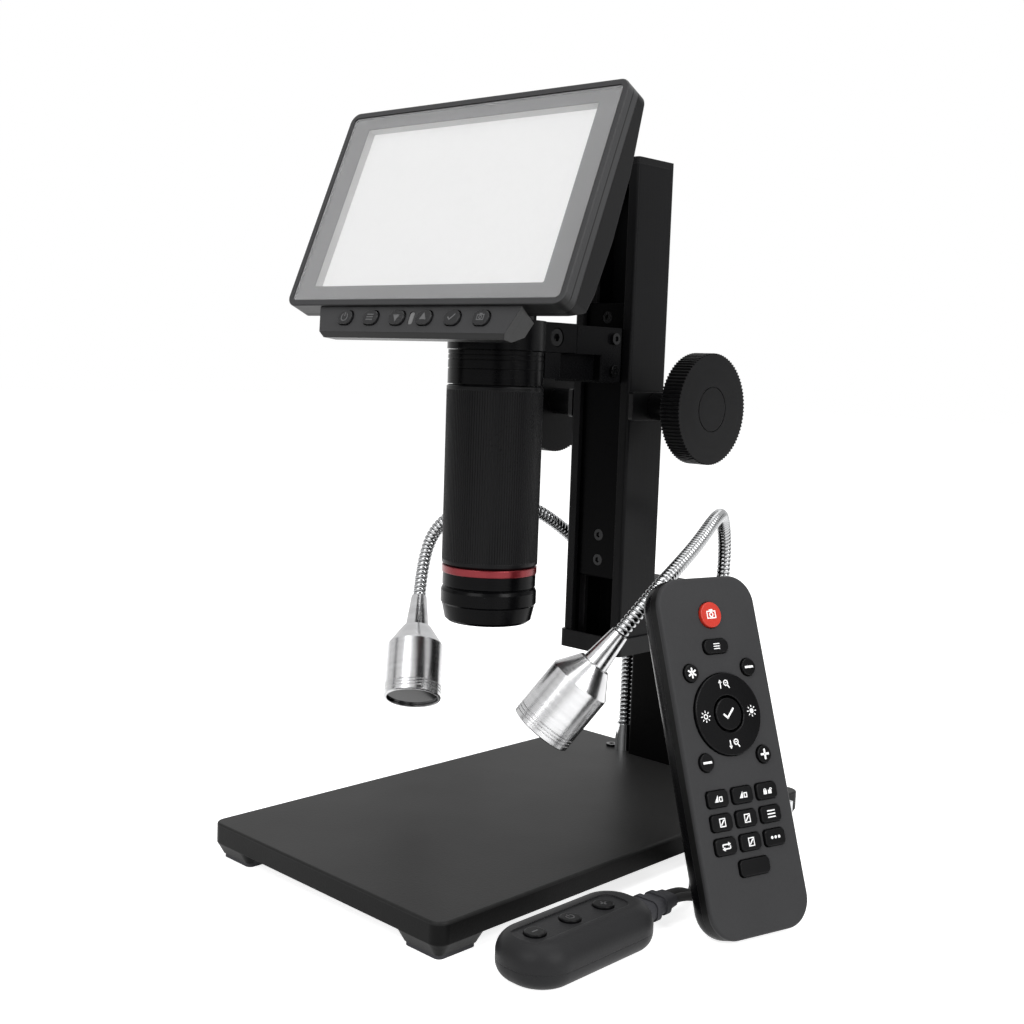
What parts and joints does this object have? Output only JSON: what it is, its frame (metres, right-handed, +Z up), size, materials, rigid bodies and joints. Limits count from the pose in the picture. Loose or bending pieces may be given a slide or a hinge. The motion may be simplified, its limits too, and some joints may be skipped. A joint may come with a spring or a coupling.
{
  "type": "lcd digital microscope",
  "caption": "Bench digital microscope with its own tilted screen on a rack-and-pinion column, gooseneck lamps, a corded lamp dimmer and a remote control.",
  "frame": {"origin": "on the top face of the base, where the optical axis of the tube meets it", "axes": "+X to the right as seen from the screen's side, +Y towards the rear post, +Z up along the optical axis; the surface the microscope stands on is at z = -13 mm"},
  "size_m": [0.1886, 0.2, 0.2715],
  "materials": {
    "black_paint": "satin powder coat",
    "black_anodised": "satin black anodised",
    "red_anodised": "satin red anodised",
    "lamp_aluminium": "fine turned",
    "chromed_steel": "polished",
    "black_screws": "black oxide",
    "brass": "machined",
    "steel": "ground",
    "black_plastic": "fine textured",
    "gloss_black": "polished",
    "white_strip": "slippery",
    "charcoal_plastic": "satin",
    "red_key": "silicone",
    "black_rubber": "matte",
    "cord_sheath": "smooth",
    "cover_glass": "polished",
    "lens_glass": "polished",
    "display": "lit display",
    "circuit_board": "solder mask",
    "cell_steel": "bright"
  },
  "bodies": {
    "stand": {"base_plate": "black_paint", "rubber_feet": "black_rubber", "rear_post": "black_paint", "frame_screws": "black_screws", "column": "black_anodised", "column_caps": "black_plastic", "guide_strips": "white_strip", "pinion_bearings": "black_anodised", "gooseneck_sockets": "chromed_steel", "controller_bottom": "black_plastic", "controller_top": "black_plastic", "cord_relief": "black_rubber", "lamp_cord": "cord_sheath", "usb_cord": "cord_sheath", "usb_coil": "cord_sheath", "usb_plug": "black_plastic"},
    "focus_drive": {"pinion_shaft": "steel", "focus_knob_right": "black_anodised", "focus_knob_left": "black_anodised"},
    "carriage": {"slide_bar": "black_anodised", "rack": "brass", "carriage_screws": "black_screws", "arm_bracket": "black_paint", "clamp_ring": "black_paint"},
    "clamp_screw": {"clamp_screw": "black_screws"},
    "head": {"tube_body": "black_anodised", "red_ring": "red_anodised", "lens_hood": "black_anodised", "camera_board": "circuit_board", "screen_frame": "black_plastic", "cover_glass": "cover_glass", "lcd_panel": "display", "main_board": "circuit_board", "screen_back_shell": "black_plastic"},
    "focus_sleeve": {"focus_sleeve": "black_anodised"},
    "lens_cell": {"lens_cell": "black_anodised", "objective_lenses": "lens_glass"},
    "lamp_left": {"gooseneck_left": "chromed_steel", "lamp_head_left": "lamp_aluminium", "lamp_lens_left": "lens_glass"},
    "lamp_right": {"gooseneck_right": "chromed_steel", "lamp_head_right": "lamp_aluminium", "lamp_lens_right": "lens_glass"},
    "remote": {"remote_front_shell": "charcoal_plastic", "remote_back_shell": "charcoal_plastic", "remote_battery_door": "charcoal_plastic", "remote_coin_cell": "cell_steel", "remote_key_mat": "black_rubber"},
    "power_button": {"power_button": "gloss_black"},
    "menu_button": {"menu_button": "gloss_black"},
    "down_button": {"down_button": "gloss_black"},
    "up_button": {"up_button": "gloss_black"},
    "ok_button": {"ok_button": "gloss_black"},
    "capture_button": {"capture_button": "gloss_black"},
    "dimmer_down_button": {"dimmer_down_button": "black_rubber"},
    "lamp_power_button": {"lamp_power_button": "black_rubber"},
    "dimmer_up_button": {"dimmer_up_button": "black_rubber"},
    "remote_power_key": {"remote_power_key": "red_key"},
    "remote_ring_key": {"remote_ring_key": "black_rubber"},
    "remote_ok_key": {"remote_ok_key": "black_rubber"}
  },
  "joints": [
    {"name": "carriage_slide", "type": "slide", "parent": "stand", "child": "carriage", "axis": [0, 0, 1], "range_m": [-0.02, 0.045]},
    {"name": "focus_knob_turn", "type": "hinge", "parent": "stand", "child": "focus_drive", "pos_m": [0, 0.0723, 0.1536], "axis": [1, 0, 0], "range_deg": [-545, 245]},
    {"name": "clamp_screw_turn", "type": "hinge", "parent": "carriage", "child": "clamp_screw", "pos_m": [0.0086, 0.019, 0.17805], "axis": [1, 0, 0], "range_deg": [0, 180]},
    {"name": "head_swivel", "type": "hinge", "parent": "carriage", "child": "head", "pos_m": [0, 0, 0.1727], "axis": [0, 0, 1], "range_deg": [-45, 35]},
    {"name": "focus_sleeve_turn", "type": "hinge", "parent": "head", "child": "focus_sleeve", "pos_m": [0, 0, 0.1278], "axis": [0, 0, 1], "range_deg": [-150, 150]},
    {"name": "lens_cell_slide", "type": "slide", "parent": "head", "child": "lens_cell", "axis": [0, 0, 1], "range_m": [-0.0061, 0.0061]},
    {"name": "lamp_left_bend", "type": "hinge", "parent": "stand", "child": "lamp_left", "pos_m": [-0.0235, 0.112, 0.001], "axis": [0, 0, 1], "range_deg": [-60, 5]},
    {"name": "lamp_right_bend", "type": "hinge", "parent": "stand", "child": "lamp_right", "pos_m": [0.0235, 0.112, 0.001], "axis": [0, 0, 1], "range_deg": [-5, 2]},
    {"name": "remote_lift", "type": "slide", "parent": "stand", "child": "remote", "axis": [0, 0, 1], "range_m": [0, 0.12]},
    {"name": "power_button_press", "type": "slide", "parent": "head", "child": "power_button", "axis": [-0.0799, 0.9136, -0.3987], "range_m": [0, 0.0006], "stiffness_N_per_m": 600, "springref_m": -0.0005},
    {"name": "menu_button_press", "type": "slide", "parent": "head", "child": "menu_button", "axis": [-0.0799, 0.9136, -0.3987], "range_m": [0, 0.0006], "stiffness_N_per_m": 600, "springref_m": -0.0005},
    {"name": "down_button_press", "type": "slide", "parent": "head", "child": "down_button", "axis": [-0.0799, 0.9136, -0.3987], "range_m": [0, 0.0006], "stiffness_N_per_m": 600, "springref_m": -0.0005},
    {"name": "up_button_press", "type": "slide", "parent": "head", "child": "up_button", "axis": [-0.0799, 0.9136, -0.3987], "range_m": [0, 0.0006], "stiffness_N_per_m": 600, "springref_m": -0.0005},
    {"name": "ok_button_press", "type": "slide", "parent": "head", "child": "ok_button", "axis": [-0.0799, 0.9136, -0.3987], "range_m": [0, 0.0006], "stiffness_N_per_m": 600, "springref_m": -0.0005},
    {"name": "capture_button_press", "type": "slide", "parent": "head", "child": "capture_button", "axis": [-0.0799, 0.9136, -0.3987], "range_m": [0, 0.0006], "stiffness_N_per_m": 600, "springref_m": -0.0005},
    {"name": "dimmer_down_button_press", "type": "slide", "parent": "stand", "child": "dimmer_down_button", "axis": [0, 0, -1], "range_m": [0, 0.0006], "stiffness_N_per_m": 600, "springref_m": -0.0005},
    {"name": "lamp_power_button_press", "type": "slide", "parent": "stand", "child": "lamp_power_button", "axis": [0, 0, -1], "range_m": [0, 0.0006], "stiffness_N_per_m": 600, "springref_m": -0.0005},
    {"name": "dimmer_up_button_press", "type": "slide", "parent": "stand", "child": "dimmer_up_button", "axis": [0, 0, -1], "range_m": [0, 0.0006], "stiffness_N_per_m": 600, "springref_m": -0.0005},
    {"name": "remote_power_key_press", "type": "slide", "parent": "remote", "child": "remote_power_key", "axis": [-0.9064, 0.2412, -0.3469], "range_m": [0, 0.0006], "stiffness_N_per_m": 600, "springref_m": -0.0005},
    {"name": "remote_ring_key_press", "type": "slide", "parent": "remote", "child": "remote_ring_key", "axis": [-0.9064, 0.2412, -0.3469], "range_m": [0, 0.0006], "stiffness_N_per_m": 600, "springref_m": -0.0005},
    {"name": "remote_ok_key_press", "type": "slide", "parent": "remote", "child": "remote_ok_key", "axis": [-0.9064, 0.2412, -0.3469], "range_m": [0, 0.0006], "stiffness_N_per_m": 600, "springref_m": -0.0005}
  ],
  "couplings": [
    {"joint": "focus_knob_turn", "follows": "carriage_slide", "rad_per_m": -208.33},
    {"joint": "lens_cell_slide", "follows": "focus_sleeve_turn", "m_per_rad": 0.0022918}
  ]
}
